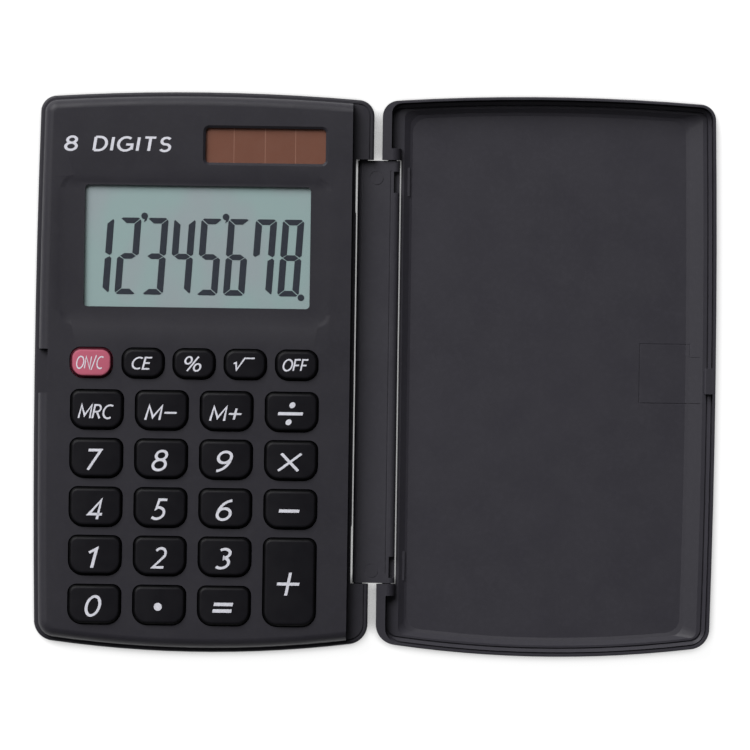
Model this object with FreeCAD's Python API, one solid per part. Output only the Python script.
import FreeCAD, Part
import math
import os
from FreeCAD import Vector

# Pocket calculator with a hard flip cover, opened flat like a book.
# Millimetres. +Z is the way the keys face, +Y runs towards the display end and +X towards the cover.
# The calculator lies at -X and the cover at +X; both outer faces rest on Z = 0.

# ---------------------------------------------------------------- driving dimensions
HALF_WIDTH_OPEN = 70.0      # from the middle of the hinge link to the far edge of each half
HALF_LENGTH = 57.5          # middle of each bowed end, from the centre line
HINGE_EDGE = 0.85           # straight edge of each half beside the link
TOP_BOW = 437.0             # radius of the bowed display end
BOTTOM_BOW = 237.0          # radius of the bowed key end
SIDE_BOW = 2200.0           # radius of the slightly bowed far side
CORNER_TOP = 3.3
CORNER_BOTTOM = 4.2
BEYOND = 60.0               # past the end of either half, for cutters that run through

AXIS_X = 2.95               # each hinge axis, from the middle of the link
AXIS_Z = 2.75
LINK_RADIUS = 1.17          # half the link's thickness; its long edge beside the calculator is fully round
LINK_COVER_EDGE = 4.55      # the link's long edge beside the cover
LINK_COVER_ROUNDING = 1.1
LINK_TOP = 44.0
LINK_BOTTOM = -42.85
NOTCH_TOP = 44.2            # the slots in both halves that take the link
NOTCH_BOTTOM = -43.05
BODY_NOTCH_X = 4.5
BODY_LIP_X = 4.36           # between the ends of the slot the casing comes closer to the link
BODY_LIP_TOP = 33.2
BODY_LIP_BOTTOM = -31.2
COVER_NOTCH_X = 4.80
PIN_RADIUS = 0.90
PIN_BORE_RADIUS = 0.95
PIN_LENGTH = 1.8
PIN_BORE_DEPTH = 1.95
KNUCKLE_RADIUS = 1.75
KNUCKLE_TOP = 46.55
KNUCKLE_BOTTOM = -45.45
LINK_MARK_Y = 40.4          # ring marks left by the mould's ejector pins
LINK_MARK_RADIUS = 1.5
LINK_MARK_LINE = 0.2
LINK_STOP = (37.4, 41.8)    # recesses in the link's cover edge, from the centre line
LINK_LINE_X = (2.55, 2.85)  # scored line along the link

FLOOR = 1.3                 # thickness of the back casing's floor and of the cover
LEDGE_Z = 5.7               # top of the back casing's rim
LEDGE_GAP = 0.05            # between the rim and the front casing that sits over it
FACE_Z = 8.4                # top of the front casing
PLATE_UNDERSIDE = 7.1
FACE_INSET = 0.9            # front casing, inside the outline of the back casing
FACE_CORNERS = (2.6, 3.4)
FACE_EDGE_X = 5.25          # front casing's straight edge beside the hinge
FACE_ROUNDING = 2.0
SKIRT_INSET = 1.75          # the skirt that drops inside the back casing
SKIRT_CORNERS = (2.5, 2.9)
SKIRT_EDGE_X = 6.7
SKIRT_BOTTOM = 1.6
SKIRT_TOP = 5.1
WALL = 1.2
TRAY_INSET = 1.5            # inside of the back casing's walls
TRAY_CORNERS = (1.8, 2.7)
TRAY_EDGE_X = 6.4
TRAY_STEP_Z = 4.9           # here the wall beside the hinge makes room for the front casing
RIM_LINE_INSET = 0.75       # groove in the back casing's rim beside the hinge
RIM_LINE_WIDTH = 0.26
RIM_LINE_DEPTH = 0.3
CATCH_X = 67.2              # recess in the front casing for the cover's tab
CATCH_Y = (-4.7, 4.4)
CATCH_Z = 6.5

PAN_Z = 8.20                # sunken pan around the display
PAN_CENTRE = (-37.2, 24.75)
PAN_SIZE = (56.1, 31.1)
PAN_SLOPE = 1.3
PAN_CORNER = 3.0
PAN_FLOOR_CORNER = 1.4
DISPLAY_CENTRE = (-36.85, 25.72)
DISPLAY_SIZE = (46.35, 25.0)
DISPLAY_PANE_Z = 8.0
SOLAR_CENTRE = (-23.1, 46.6)
SOLAR_SIZE = (24.7, 7.15)
SOLAR_PANE_Z = 7.95
WINDOW_CORNER = 0.8
SOLAR_CHAMFER = 0.5
REBATE_Z = 7.6              # the front casing is thinner here, so that both windows lie close to its top
WINDOW_FLANGE = 0.22
SOLAR_REBATE = (-36.6, -9.8, 42.0, 51.3)
FRAME_CENTRE = (-37.26, 24.75)      # wall behind the front casing that holds the display panel
FRAME_SIZE = (52.3, 32.3)
FRAME_WALL = 0.8

KEY_TOP_Z = 9.3
KEY_CROWN_RADIUS = 45.0
KEY_ROUNDING = 0.8
KEY_CLEARANCE = 0.2
KEY_FLANGE = 0.45
FLANGE_BOTTOM = 6.35
FLANGE_TOP = 7.0
SMALL_KEY = (8.6, 6.1, (2.2, 2.6))  # width, height, radius of the upper and of the lower corners
BIG_KEY = (10.75, 8.0, (1.7, 2.9))
SMALL_ROW_Y = 1.67
SMALL_COLUMNS = (-58.25, -47.6, -37.15, -26.65, -16.1)
BIG_COLUMNS = (-56.95, -43.65, -30.35, -17.0)
BIG_ROWS = (-7.95, -17.9, -27.9, -37.85, -47.9)

BOARD_BOTTOM = 2.6
BOARD_TOP = 3.6
DOME_TOP = 6.3
PANEL_Z = (5.9, 7.3)
SOLAR_Z = (6.1, 7.3)
CASE_SCREWS = ((-66.0, 39.0), (-8.7, 39.0), (-65.8, -50.4), (-8.8, -50.4))
BOARD_SCREWS = ((-60.5, 7.0), (-13.5, 7.0), (-37.4, -54.5), (-44.0, 42.9))
BOSS_RADIUS = 1.7
PILLAR_RADIUS = 2.6         # back casing's pillars, which meet the bosses
HEAD_BORE_RADIUS = 1.75
SHANK_BORE_RADIUS = 1.0
BOARD_BOSS_RADIUS = 1.2
CELL_CENTRE = (-55.0, 46.6)
CELL_RADIUS = 5.8
CELL_Z = (1.5, 4.55)

COVER_RIM_Z = 5.4
COVER_HINGE_RIM_Z = 4.5     # lower beside the hinge, so that the rim passes over the ledge
COVER_RIM = 1.9             # width of the rim beside the hinge
COVER_LIP = 0.55            # width of the rim elsewhere, to pass round the front casing
COVER_LIP_FOOT_Z = 2.9
COVER_LEDGE_Z = 2.2
COVER_STEP = (              # sloping step between ledge and lip: inset, corner, z
    (1.6, 2.0, COVER_LEDGE_Z),
    (0.7, 2.6, COVER_LIP_FOOT_Z),
)
COVER_TRAY = (              # rings of the sunken middle: hinge side x, end inset, side inset, corner, z
    (7.1, 3.8, 6.1, 3.0, FLOOR),
    (6.6, 3.1, 5.4, 2.4, 1.45),
    (5.4, 2.2, 2.6, 1.4, COVER_LEDGE_Z),
)
COVER_GROOVES = (           # fine grooves at the feet of step and lip: outer inset, inner inset, bottom
    (1.5, 1.8, 1.85),
    (0.55, 0.85, 2.4),
)
COVER_LOW_RIM_X = 4.7       # how far the lower stretch of the rim runs round the hinge corners
COVER_BLOCKS = ((36.8, 42.7), (-42.3, -36.3))       # low blocks on the slope beside the slot
COVER_BLOCK_Z = 1.75


# ---------------------------------------------------------------- helpers
def box(x0, x1, y0, y1, z0, z1):
    return Part.makeBox(x1 - x0, y1 - y0, z1 - z0, Vector(x0, y0, z0))


def rod(x, y, z0, z1, radius):
    return Part.makeCylinder(radius, z1 - z0, Vector(x, y, z0))


def cone(x, y, z0, z1, radius0, radius1):
    return Part.makeCone(radius0, radius1, z1 - z0, Vector(x, y, z0))


def mirrored(shape):
    """The same shape on the calculator's side of the hinge."""
    return shape.mirror(Vector(0, 0, 0), Vector(1, 0, 0))


def fuse(shapes):
    return shapes[0].multiFuse(shapes[1:]).removeSplitter()


def vertical_edges(solid):
    found = []
    for edge in solid.Edges:
        a, b = edge.Vertexes[0].Point, edge.Vertexes[-1].Point
        if math.hypot(a.x - b.x, a.y - b.y) < 1e-6 and abs(a.z - b.z) > 1e-6:
            found.append(edge)
    return found


def round_corner(solid, sign_x, sign_y, radius):
    """Rounds the vertical edge that lies furthest towards the given corner."""
    if radius <= 0:
        return solid
    edge = max(
        vertical_edges(solid),
        key=lambda e: sign_x * e.Vertexes[0].Point.x + sign_y * e.Vertexes[0].Point.y,
    )
    return solid.makeFillet(radius, [edge])


def slab(hinge_x, inset, z0, z1, hinge_corners=None, far_corners=None, side_inset=None):
    """A plate of the object's outline, drawn in by inset, on the cover's side of the hinge."""
    if side_inset is None:
        side_inset = inset
    height = z1 - z0
    middle = (HINGE_EDGE + HALF_WIDTH_OPEN) / 2
    plate = box(hinge_x, HALF_WIDTH_OPEN + 1, -HALF_LENGTH - 1, HALF_LENGTH + 1, z0, z1)
    rounds = (
        (middle, HALF_LENGTH - TOP_BOW, TOP_BOW - inset),
        (middle, BOTTOM_BOW - HALF_LENGTH, BOTTOM_BOW - inset),
        (HALF_WIDTH_OPEN - SIDE_BOW, 0.0, SIDE_BOW - side_inset),
    )
    for x, y, radius in rounds:
        plate = plate.common(Part.makeCylinder(radius, height, Vector(x, y, z0)))
    shrunk = (max(CORNER_TOP - inset, 0.6), max(CORNER_BOTTOM - inset, 0.6))
    for sign_x, corners in ((-1, hinge_corners), (1, far_corners)):
        top, bottom = corners or shrunk
        plate = round_corner(plate, sign_x, 1, top)
        plate = round_corner(plate, sign_x, -1, bottom)
    return plate


def outline_wire(hinge_x, inset, side_inset, corner, z):
    """The drawn-in outline as a closed wire at height z, with equal corners."""
    plate = slab(hinge_x, inset, z, z + 1, (corner, corner), (corner, corner), side_inset)
    return min(plate.Faces, key=lambda face: face.CenterOfMass.z).OuterWire


def edges_at(solid, z, keep=lambda centre: True):
    """Edges that lie wholly in the plane at height z, where keep accepts their middle."""
    found = []
    for edge in solid.Edges:
        heights = [v.Point.z for v in edge.Vertexes] + [edge.BoundBox.ZMin, edge.BoundBox.ZMax]
        if all(abs(h - z) < 1e-4 for h in heights) and keep(edge.BoundBox.Center):
            found.append(edge)
    return found


def rounded_wire(centre, size, corners, z):
    """A rectangle with round corners, as a closed wire; corners are one radius or (upper, lower)."""
    half_x, half_y = size[0] / 2, size[1] / 2
    if not isinstance(corners, tuple):
        corners = (corners, corners)
    edges = []
    for turn, sx, sy in ((0, 1, 1), (1, -1, 1), (2, -1, -1), (3, 1, -1)):
        corner = corners[0] if sy > 0 else corners[1]
        middle = Vector(centre[0] + sx * (half_x - corner), centre[1] + sy * (half_y - corner), z)
        start = math.pi / 2 * turn
        points = []
        for step in (0, 1, 2):
            angle = start + step * math.pi / 4
            points.append(middle + Vector(corner * math.cos(angle), corner * math.sin(angle), 0))
        edges.append(Part.Arc(*points).toShape())
    joined = []
    for index, arc in enumerate(edges):
        following = edges[(index + 1) % 4]
        joined.append(arc)
        joined.append(Part.LineSegment(arc.lastVertex().Point, following.firstVertex().Point).toShape())
    return Part.Wire(joined)


def grown(size, corners, by):
    """Size and corner radii of an outline that lies outside another by the same distance all round."""
    return (size[0] + 2 * by, size[1] + 2 * by), tuple(radius + by for radius in corners)


def rounded_plate(centre, size, corners, z0, z1):
    face = Part.Face(rounded_wire(centre, size, corners, z0))
    return face.extrude(Vector(0, 0, z1 - z0))


def rounded_taper(centre, size0, corner0, z0, size1, corner1, z1):
    wires = [rounded_wire(centre, size0, corner0, z0), rounded_wire(centre, size1, corner1, z1)]
    return Part.makeLoft(wires, True, True)


def wire_tube(points, bend, radius):
    """A round wire along straight runs that are joined by tangent arcs."""
    edges = []
    start = points[0]
    for before, corner, after in zip(points, points[1:], points[2:]):
        inward = (before - corner).normalize()
        outward = (after - corner).normalize()
        half = inward.getAngle(outward) / 2
        back = bend / math.tan(half)
        first = corner + inward * back
        last = corner + outward * back
        middle_way = (inward + outward).normalize()
        centre = corner + middle_way * (bend / math.sin(half))
        middle = centre - middle_way * bend
        edges.append(Part.LineSegment(start, first).toShape())
        edges.append(Part.Arc(first, middle, last).toShape())
        start = last
    edges.append(Part.LineSegment(start, points[-1]).toShape())
    path = Part.Wire(edges)
    way = (points[1] - points[0]).normalize()
    section = Part.Wire(Part.makeCircle(radius, points[0], way))
    return path.makePipeShell([section], True, True)


def export(name, shape):
    shape.exportStep("parts/%s.step" % name)


# ---------------------------------------------------------------- keys
def key_list():
    """Name, centre and size of every key."""
    small_names = ("on_clear", "clear_entry", "percent", "square_root", "off")
    keys = []
    for name, x in zip(small_names, SMALL_COLUMNS):
        keys.append(("key_" + name, (x, SMALL_ROW_Y), SMALL_KEY))
    rows = (
        ("memory_recall", "memory_minus", "memory_plus", "divide"),
        ("7", "8", "9", "multiply"),
        ("4", "5", "6", "minus"),
        ("1", "2", "3"),
        ("0", "point", "equals"),
    )
    for names, y in zip(rows, BIG_ROWS):
        for name, x in zip(names, BIG_COLUMNS):
            keys.append(("key_" + name, (x, y), BIG_KEY))
    tall = (BIG_KEY[0], BIG_KEY[1] + BIG_ROWS[3] - BIG_ROWS[4], BIG_KEY[2])
    keys.append(("key_plus", (BIG_COLUMNS[3], (BIG_ROWS[3] + BIG_ROWS[4]) / 2), tall))
    return keys


def key_shape(centre, size):
    """Crowned cap with a rounded top edge, on a flange that stays under the front casing."""
    width, height, corners = size
    cap = rounded_plate(centre, (width, height), corners, FLANGE_BOTTOM, KEY_TOP_Z + 0.5)
    crown_length = height + 4
    crown = Part.makeCylinder(
        KEY_CROWN_RADIUS,
        crown_length,
        Vector(centre[0], centre[1] - crown_length / 2, KEY_TOP_Z - KEY_CROWN_RADIUS),
        Vector(0, 1, 0),
    )
    cap = cap.common(crown)
    rim = [e for e in cap.Edges if e.BoundBox.ZMin > KEY_TOP_Z - 1.0]
    cap = cap.makeFillet(KEY_ROUNDING, rim)
    flange_size, flange_corners = grown((width, height), corners, KEY_FLANGE)
    flange = rounded_plate(centre, flange_size, flange_corners, FLANGE_BOTTOM, FLANGE_TOP)
    return fuse([cap, flange])


# ---------------------------------------------------------------- casings
def front_shell():
    """Face plate that sits over the rim, with a skirt that drops inside the back casing."""
    face = mirrored(slab(FACE_EDGE_X, FACE_INSET, LEDGE_Z + LEDGE_GAP, FACE_Z, (0, 0), FACE_CORNERS))
    far_loop = edges_at(face, FACE_Z, lambda centre: centre.x < -FACE_EDGE_X - 0.5)
    face = face.makeFillet(FACE_ROUNDING, far_loop)
    lower = mirrored(
        slab(FACE_EDGE_X, SKIRT_INSET, SKIRT_TOP - 0.1, LEDGE_Z + 2 * LEDGE_GAP, (0, 0), SKIRT_CORNERS)
    )
    skirt = mirrored(slab(SKIRT_EDGE_X, SKIRT_INSET, SKIRT_BOTTOM, SKIRT_TOP, (0, 0), SKIRT_CORNERS))
    skirt = skirt.cut(box(-41.0, -33.8, -57.0, -53.0, 1.0, TRAY_STEP_Z))
    hollow = mirrored(
        slab(SKIRT_EDGE_X - 0.15, SKIRT_INSET + WALL, SKIRT_BOTTOM - 0.1, PLATE_UNDERSIDE,
             (0.6, 0.6), (1.3, 1.7))
    )
    return face.fuse(lower).fuse(skirt).cut(hollow)


def front_casing():
    """The shell with its bosses and display frame, cut for the pan, windows, keys and the cover's tab."""
    frame_hole = (FRAME_SIZE[0] - 2 * FRAME_WALL, FRAME_SIZE[1] - 2 * FRAME_WALL)
    display_frame = rounded_plate(FRAME_CENTRE, FRAME_SIZE, FRAME_WALL, 5.2, PLATE_UNDERSIDE + 0.1)
    display_frame = display_frame.cut(
        rounded_plate(FRAME_CENTRE, frame_hole, FRAME_WALL / 2, 5.0, PLATE_UNDERSIDE + 0.2)
    )
    added = [front_shell(), display_frame]
    for x, y in CASE_SCREWS:
        added.append(rod(x, y, 2.45, PLATE_UNDERSIDE + 0.1, BOSS_RADIUS))
    for x, y in BOARD_SCREWS:
        added.append(rod(x, y, BOARD_TOP + 0.05, PLATE_UNDERSIDE + 0.1, BOARD_BOSS_RADIUS))
    shell = fuse(added)

    through = (PLATE_UNDERSIDE - 0.2, FACE_Z + 1)
    above = FACE_Z + 0.001
    pan_floor = (PAN_SIZE[0] - 2 * PAN_SLOPE, PAN_SIZE[1] - 2 * PAN_SLOPE)
    solar_mouth = (SOLAR_SIZE[0] + 2 * SOLAR_CHAMFER, SOLAR_SIZE[1] + 2 * SOLAR_CHAMFER)
    cutters = [
        rounded_taper(PAN_CENTRE, pan_floor, PAN_FLOOR_CORNER, PAN_Z, PAN_SIZE, PAN_CORNER, above),
        rounded_plate(DISPLAY_CENTRE, DISPLAY_SIZE, WINDOW_CORNER, *through),
        rounded_plate(SOLAR_CENTRE, SOLAR_SIZE, WINDOW_CORNER, *through),
        rounded_taper(
            SOLAR_CENTRE,
            SOLAR_SIZE,
            WINDOW_CORNER,
            FACE_Z - 0.4,
            solar_mouth,
            WINDOW_CORNER + SOLAR_CHAMFER,
            above,
        ),
        box(-HALF_WIDTH_OPEN, -CATCH_X, *CATCH_Y, CATCH_Z, FACE_Z + 1),
        rounded_plate(FRAME_CENTRE, frame_hole, FRAME_WALL / 2, through[0], REBATE_Z),
        box(*SOLAR_REBATE, through[0], REBATE_Z),
    ]
    for centre, (width, height, corners) in [key[1:] for key in key_list()]:
        hole, hole_corners = grown((width, height), corners, KEY_CLEARANCE)
        cutters.append(rounded_plate(centre, hole, hole_corners, *through))
    for x, y in CASE_SCREWS:
        cutters.append(rod(x, y, 1.0, 6.6, 0.83))
    for x, y in BOARD_SCREWS:
        cutters.append(rod(x, y, 3.0, 6.6, 0.68))
    return shell.cut(Part.makeCompound(cutters))


def hinge_bores(shape):
    """Blind bores for the link's pins at both ends of the slot, about the axis on the cover's side."""
    upper = (NOTCH_TOP - 0.1, NOTCH_TOP + PIN_BORE_DEPTH)
    lower = (NOTCH_BOTTOM - PIN_BORE_DEPTH, NOTCH_BOTTOM + 0.1)
    for y0, y1 in (upper, lower):
        bore = Part.makeCylinder(PIN_BORE_RADIUS, y1 - y0, Vector(AXIS_X, y0, AXIS_Z), Vector(0, 1, 0))
        shape = shape.cut(bore)
    return shape


def rim_line():
    """Cutter for the fine groove that follows the rim beside the hinge."""
    start = HINGE_EDGE + RIM_LINE_INSET
    outer = slab(start, RIM_LINE_INSET, LEDGE_Z - RIM_LINE_DEPTH, LEDGE_Z + 1)
    inner_inset = RIM_LINE_INSET + RIM_LINE_WIDTH
    inner = slab(start + RIM_LINE_WIDTH, inner_inset, LEDGE_Z - 2 * RIM_LINE_DEPTH, LEDGE_Z + 2)
    return outer.cut(inner).common(box(0, FACE_EDGE_X, -BEYOND, BEYOND, 5, 7))


def back_casing():
    """Tray with a rounded rim; the strip beside the hinge carries the two hinge ears."""
    tray = slab(HINGE_EDGE, 0.0, 0.0, LEDGE_Z)
    tray = tray.makeFillet(1.1, edges_at(tray, 0.0))
    tray = tray.makeFillet(0.45, edges_at(tray, LEDGE_Z))
    tray = tray.cut(slab(TRAY_EDGE_X, TRAY_INSET, FLOOR, 6.0, (0.6, 0.6), TRAY_CORNERS))
    tray = tray.cut(slab(FACE_EDGE_X - 0.15, TRAY_INSET, TRAY_STEP_Z, 6.0, (0, 0), TRAY_CORNERS))
    tray = tray.cut(rim_line())
    slot_runs = (
        (BODY_LIP_X, NOTCH_BOTTOM, NOTCH_TOP),
        (BODY_NOTCH_X, NOTCH_BOTTOM, BODY_LIP_BOTTOM),
        (BODY_NOTCH_X, BODY_LIP_TOP, NOTCH_TOP),
    )
    for depth, y0, y1 in slot_runs:
        tray = tray.cut(box(0, depth, y0, y1, -1, 7))
    tray = mirrored(hinge_bores(tray))

    added = [tray]
    for x, y in CASE_SCREWS:
        added.append(rod(x, y, FLOOR - 0.3, 2.4, PILLAR_RADIUS))
    ring = rod(*CELL_CENTRE, FLOOR - 0.1, 3.4, CELL_RADIUS + 1.0)
    ring = ring.cut(rod(*CELL_CENTRE, FLOOR - 0.2, 3.6, CELL_RADIUS + 0.2))
    ring = ring.cut(box(CELL_CENTRE[0], CELL_CENTRE[0] + 9, 42.5, 50.5, 1, 4))
    added.append(ring)
    tray = fuse(added)
    skirt_room = mirrored(slab(TRAY_EDGE_X, TRAY_INSET, FLOOR + 0.05, 6.0, (0.6, 0.6), TRAY_CORNERS))
    skirt_room = skirt_room.cut(
        mirrored(slab(TRAY_EDGE_X, SKIRT_INSET + WALL + 0.15, 1.0, 6.5, (0.6, 0.6), (1.3, 1.7)))
    )
    tray = tray.cut(skirt_room)
    for x, y in CASE_SCREWS:
        tray = tray.cut(rod(x, y, -0.1, 1.4, HEAD_BORE_RADIUS))
        tray = tray.cut(rod(x, y, 1.0, 3.0, SHANK_BORE_RADIUS))
    return tray


def window(centre, size, z_top, flange):
    """Clear lens with a flange that is glued into the rebate behind the front casing."""
    pane_size = (size[0] - 0.2, size[1] - 0.2)
    back_size = (size[0] + 2 * flange, size[1] + 2 * flange)
    z_back = REBATE_Z - 0.03 - WINDOW_FLANGE
    pane = rounded_plate(centre, pane_size, WINDOW_CORNER, z_back, z_top)
    return fuse([pane, rounded_plate(centre, back_size, 1.0, z_back, z_back + WINDOW_FLANGE)])


# ---------------------------------------------------------------- hinge link and cover
def hinge_link():
    """Flat bar, round beside the calculator, with a stub pin at each end of each axis."""
    low, face = AXIS_Z - LINK_RADIUS, AXIS_Z + LINK_RADIUS
    bar = box(-AXIS_X, LINK_COVER_EDGE, LINK_BOTTOM, LINK_TOP, low, face)
    cover_side = [e for e in bar.Edges if e.BoundBox.XMin > LINK_COVER_EDGE - 0.01]
    long_edges = [e for e in cover_side if e.BoundBox.ZLength < 0.01]
    bar = bar.makeFillet(LINK_COVER_ROUNDING, long_edges)
    along = Vector(0, 1, 0)
    round_edge = Part.makeCylinder(
        LINK_RADIUS, LINK_TOP - LINK_BOTTOM, Vector(-AXIS_X, LINK_BOTTOM, AXIS_Z), along
    )
    solids = [bar, round_edge]
    for x in (-AXIS_X, AXIS_X):
        start = Vector(x, LINK_BOTTOM - PIN_LENGTH, AXIS_Z)
        length = LINK_TOP - LINK_BOTTOM + 2 * PIN_LENGTH
        solids.append(Part.makeCylinder(PIN_RADIUS, length, start, along))
    link = fuse(solids)
    cutters = [box(*LINK_LINE_X, LINK_BOTTOM + 2, LINK_TOP - 2, face - 0.15, face + 1)]
    for sign in (-1, 1):
        near, far = sorted((sign * LINK_STOP[0], sign * LINK_STOP[1]))
        cutters.append(box(3.3, 6.0, near, far, face - 1.3, face + 1))
        ring = rod(-0.2, sign * LINK_MARK_Y, face - 0.1, face + 1, LINK_MARK_RADIUS)
        inner = rod(-0.2, sign * LINK_MARK_Y, face - 0.2, face + 2, LINK_MARK_RADIUS - LINK_MARK_LINE)
        cutters.append(ring.cut(inner))
    cutters.append(box(-1.9, 1.9, -38.0, 38.0, -1, low + 0.9))
    return link.cut(Part.makeCompound(cutters))


def cover_hollow():
    """Cutter for the inside of the cover: sunken tray, ledge, sloping step and the room inside the lip."""
    hinge_side = HINGE_EDGE + COVER_RIM
    tray = Part.makeLoft([outline_wire(*ring) for ring in COVER_TRAY], True, True)
    rings = [outline_wire(hinge_side, inset, inset, corner, z) for inset, corner, z in COVER_STEP]
    step = Part.makeLoft(rings, True, True)
    inner_corners = (CORNER_TOP - COVER_LIP, CORNER_BOTTOM - COVER_LIP)
    foot = COVER_LIP_FOOT_Z - 0.01
    lip_room = slab(hinge_side, COVER_LIP, foot, COVER_RIM_Z + 1, (2.0, 2.9), inner_corners)
    return tray, fuse([tray, step, lip_room])


def cover_grooves():
    """Cutters for the fine grooves that run round beside the step and the lip."""
    hinge_side = HINGE_EDGE + COVER_RIM
    cutters = []
    for outer, inner, bottom in COVER_GROOVES:
        ring = slab(hinge_side, outer, bottom, COVER_LIP_FOOT_Z + 0.1)
        middle = slab(hinge_side + inner - outer, inner, bottom - 0.1, COVER_LIP_FOOT_Z + 0.2)
        cutters.append(ring.cut(middle))
    return Part.makeCompound(cutters)


def cover_line(tray):
    """Cutter for the fine outline of a mould insert on the tray's floor and slope."""
    insert = fuse([box(54.3, 64.8, -5.2, 7.2, 0, 6), box(64.0, 67.6, -5.2, 4.5, 0, 6)])
    core = fuse([box(54.5, 64.6, -5.0, 7.0, -1, 7), box(64.0, 68.0, -5.0, 4.3, -1, 7)])
    lowered = tray.copy()
    lowered.translate(Vector(0, 0, -0.12))
    return insert.cut(core).common(lowered)


def flip_cover():
    """Hard shell: a rim all round, a ledge with two knuckles beside the hinge, a snap tab opposite."""
    shell = slab(HINGE_EDGE, 0.0, 0.0, COVER_RIM_Z)
    shell = shell.makeFillet(1.6, edges_at(shell, 0.0))
    shell = shell.makeFillet(0.2, edges_at(shell, COVER_RIM_Z))
    tray, hollow = cover_hollow()
    shell = shell.cut(hollow).cut(cover_grooves())

    added = [shell]
    for y0, y1 in COVER_BLOCKS:
        added.append(box(5.2, 6.6, y0, y1, FLOOR - 0.2, COVER_BLOCK_Z))
    for y0, y1 in ((NOTCH_TOP, KNUCKLE_TOP), (KNUCKLE_BOTTOM, NOTCH_BOTTOM)):
        start = Vector(AXIS_X, y0, AXIS_Z)
        added.append(Part.makeCylinder(KNUCKLE_RADIUS, y1 - y0, start, Vector(0, 1, 0)))
        added.append(box(HINGE_EDGE + 0.5, 4.7, y0, y1, 1.0, AXIS_Z))
    tab = box(67.6, 69.7, -3.1, 2.2, 2.0, 4.6)
    tab = tab.makeFillet(0.5, [e for e in tab.Edges if e.BoundBox.XMax < 67.7])
    added.append(tab)
    shell = fuse(added)

    shell = shell.cut(cover_line(tray))
    shell = shell.cut(box(0, COVER_NOTCH_X, NOTCH_BOTTOM, NOTCH_TOP, -1, 7))
    shell = shell.cut(box(0, COVER_LOW_RIM_X, -BEYOND, BEYOND, COVER_HINGE_RIM_Z, 7))
    return hinge_bores(shell)


# ---------------------------------------------------------------- inside
def main_board():
    board = box(-63.4, -11.4, -52.6, 44.4, BOARD_BOTTOM, BOARD_TOP)
    board = fuse([board, box(-40.4, -34.4, -55.7, -52.0, BOARD_BOTTOM, BOARD_TOP)])
    board = board.cut(box(-64, -47.6, 39.4, 45, 2, 4))
    for x, y in CASE_SCREWS:
        board = board.cut(rod(x, y, 2, 4, 2.5))
    for x, y in BOARD_SCREWS:
        board = board.cut(rod(x, y, 2, 4, 0.8))
    return board


def dome_centres():
    return [key[1] for key in key_list()]


def keypad_membrane():
    """Rubber sheet with a hollow dome under each key."""
    sheet = box(-63.2, -11.6, -52.5, 4.9, BOARD_TOP + 0.02, 4.2)
    solids = [sheet]
    hollows = []
    for x, y in dome_centres():
        solids.append(cone(x, y, 4.1, 5.3, 2.9, 1.9))
        solids.append(rod(x, y, 5.2, DOME_TOP, 1.9))
        hollows.append(cone(x, y, 3.5, 4.95, 2.5, 1.55))
    for x, y in BOARD_SCREWS:
        hollows.append(rod(x, y, 3, 5, 1.7))
    return fuse(solids).cut(Part.makeCompound(hollows))


def contact_pills():
    return Part.makeCompound([rod(x, y, 4.6, 4.93, 1.35) for x, y in dome_centres()])


def chip_blob():
    """Potted chip: a low dome."""
    ball_radius = 14.5
    height = 0.9
    ball = Part.makeSphere(ball_radius, Vector(-37.0, 27.0, BOARD_TOP + 0.02 + height - ball_radius))
    return ball.common(box(-50, -25, 15, 40, BOARD_TOP + 0.02, 6))


def solar_lead(x):
    """Insulated wire in an easy S from the solar cell's back to the board."""
    radius = 0.33
    high, low = SOLAR_Z[0] - 0.02 - radius, BOARD_TOP + 0.03 + radius
    points = [
        Vector(x, 49.5, high),
        Vector(x, 46.8, high),
        Vector(x, 45.0, low),
        Vector(x, 42.4, low),
    ]
    return wire_tube(points, 2.2, radius)


def battery_contact_minus():
    """Strip under the cell, with an arm that is soldered below the board."""
    x, y = CELL_CENTRE
    pad = box(x - 3.5, x + 5.6, y - 2.0, y + 2.0, FLOOR + 0.02, FLOOR + 0.17)
    arm = box(x + 5.4, x + 10.5, y - 5.6, y + 2.0, FLOOR + 0.02, FLOOR + 0.17)
    post = box(x + 8.5, x + 10.5, y - 5.6, y - 5.4, FLOOR + 0.02, BOARD_BOTTOM - 0.02)
    return fuse([pad, arm, post])


def battery_contact_plus():
    """Strip that presses on the cell from above and is soldered on the board."""
    x, y = CELL_CENTRE
    top = CELL_Z[1] + 0.02
    pad = box(x - 2.0, x + 7.6, y - 1.6, y + 1.6, top, top + 0.18)
    leg = box(x + 7.6, x + 7.78, y - 4.6, y + 1.6, BOARD_TOP + 0.02, top + 0.18)
    foot = box(x + 7.6, x + 9.6, y - 4.6, y - 2.6, BOARD_TOP + 0.02, BOARD_TOP + 0.2)
    return fuse([pad, leg, foot])


def button_cell():
    x, y = CELL_CENTRE
    low, high = CELL_Z
    can = rod(x, y, low + 0.4, high, CELL_RADIUS)
    can = can.makeFillet(0.25, edges_at(can, high))
    return fuse([can, rod(x, y, low, low + 0.5, CELL_RADIUS - 1.0)])


def screw(x, y, head_z0, head_z1, head_radius, shank_radius, tip_z):
    """Pan head below, with a cross recess, and a shank that points up."""
    head = rod(x, y, head_z0, head_z1, head_radius)
    head = head.makeFillet(0.3, edges_at(head, head_z0))
    body = fuse([head, rod(x, y, head_z1 - 0.1, tip_z - 0.4, shank_radius),
                 cone(x, y, tip_z - 0.4, tip_z, shank_radius, shank_radius / 2)])
    arm, slot = head_radius * 0.55, head_radius * 0.14
    depth = head_z0 + 0.55 * (head_z1 - head_z0)
    body = body.cut(box(x - arm, x + arm, y - slot, y + slot, head_z0 - 1, depth))
    return body.cut(box(x - slot, x + slot, y - arm, y + arm, head_z0 - 1, depth))


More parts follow.
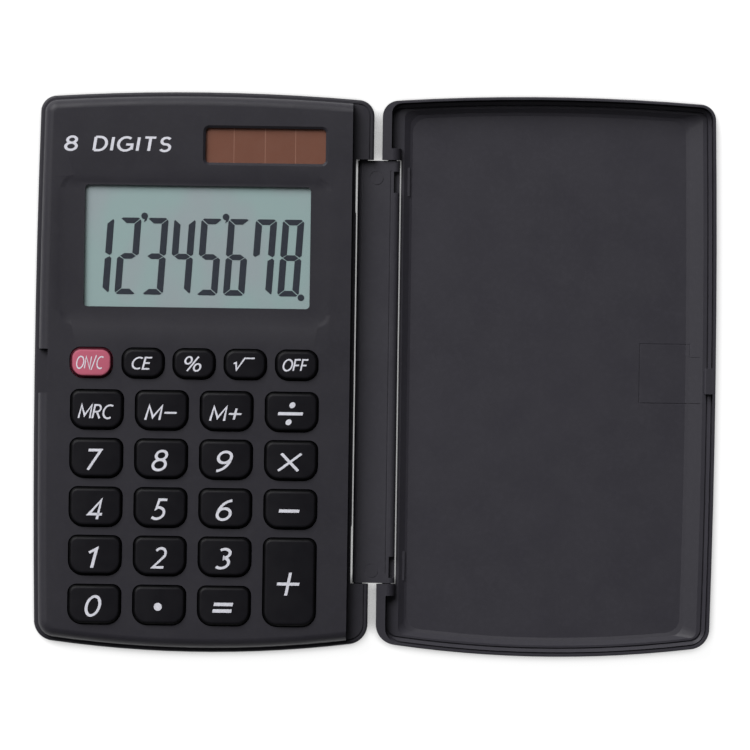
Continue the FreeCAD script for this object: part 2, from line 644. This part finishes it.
def clamp_diode():
    """Glass diode lying on the board, with its two leads."""
    z = BOARD_TOP + 0.75
    glass = Part.makeCylinder(0.7, 3.4, Vector(-40.5, 43.2, z), Vector(1, 0, 0))
    lead = Part.makeCylinder(0.22, 5.6, Vector(-41.6, 43.2, z), Vector(1, 0, 0))
    solids = [glass, lead]
    for x in (-41.6, -36.44):
        solids.append(box(x, x + 0.44, 42.98, 43.42, BOARD_TOP + 0.02, z + 0.1))
    return fuse(solids)


def capacitor():
    return box(-21.6, -18.4, 32.2, 33.8, BOARD_TOP + 0.02, 4.6)


def solar_cell():
    """Glass plate with four amorphous strips."""
    return box(-36.4, -10.0, 42.2, 51.1, *SOLAR_Z)


PARTS = {
    "front_casing": front_casing,
    "back_casing": back_casing,
    "display_window": lambda: window(DISPLAY_CENTRE, DISPLAY_SIZE, DISPLAY_PANE_Z, 1.4),
    "solar_window": lambda: window(SOLAR_CENTRE, SOLAR_SIZE, SOLAR_PANE_Z, 0.8),
    "hinge_link": hinge_link,
    "flip_cover": flip_cover,
    "lcd_panel": lambda: box(-62.4, -12.1, 9.6, 39.9, *PANEL_Z),
    "lcd_reflector": lambda: box(-61.0, -13.5, 13.0, 39.0, PANEL_Z[0] - 0.18, PANEL_Z[0] - 0.02),
    "zebra_connector": lambda: box(-60.0, -14.5, 10.0, 12.2, BOARD_TOP + 0.02, PANEL_Z[0] - 0.02),
    "main_board": main_board,
    "chip_blob": chip_blob,
    "capacitor": capacitor,
    "clamp_diode": clamp_diode,
    "solar_cell": solar_cell,
    "solar_lead_red": lambda: solar_lead(-31.0),
    "solar_lead_black": lambda: solar_lead(-15.5),
    "keypad_membrane": keypad_membrane,
    "contact_pills": contact_pills,
    "button_cell": button_cell,
    "battery_contact_plus": battery_contact_plus,
    "battery_contact_minus": battery_contact_minus,
    "case_screws": lambda: Part.makeCompound(
        [screw(x, y, 0.25, 1.38, 1.55, 0.8, 6.4) for x, y in CASE_SCREWS]
    ),
    "board_screws": lambda: Part.makeCompound(
        [screw(x, y, 1.75, 2.57, 1.3, 0.65, 6.2) for x, y in BOARD_SCREWS]
    ),
}

for part_name, make in PARTS.items():
    export(part_name, make())
for key_name, key_centre, key_size in key_list():
    export(key_name, key_shape(key_centre, key_size))
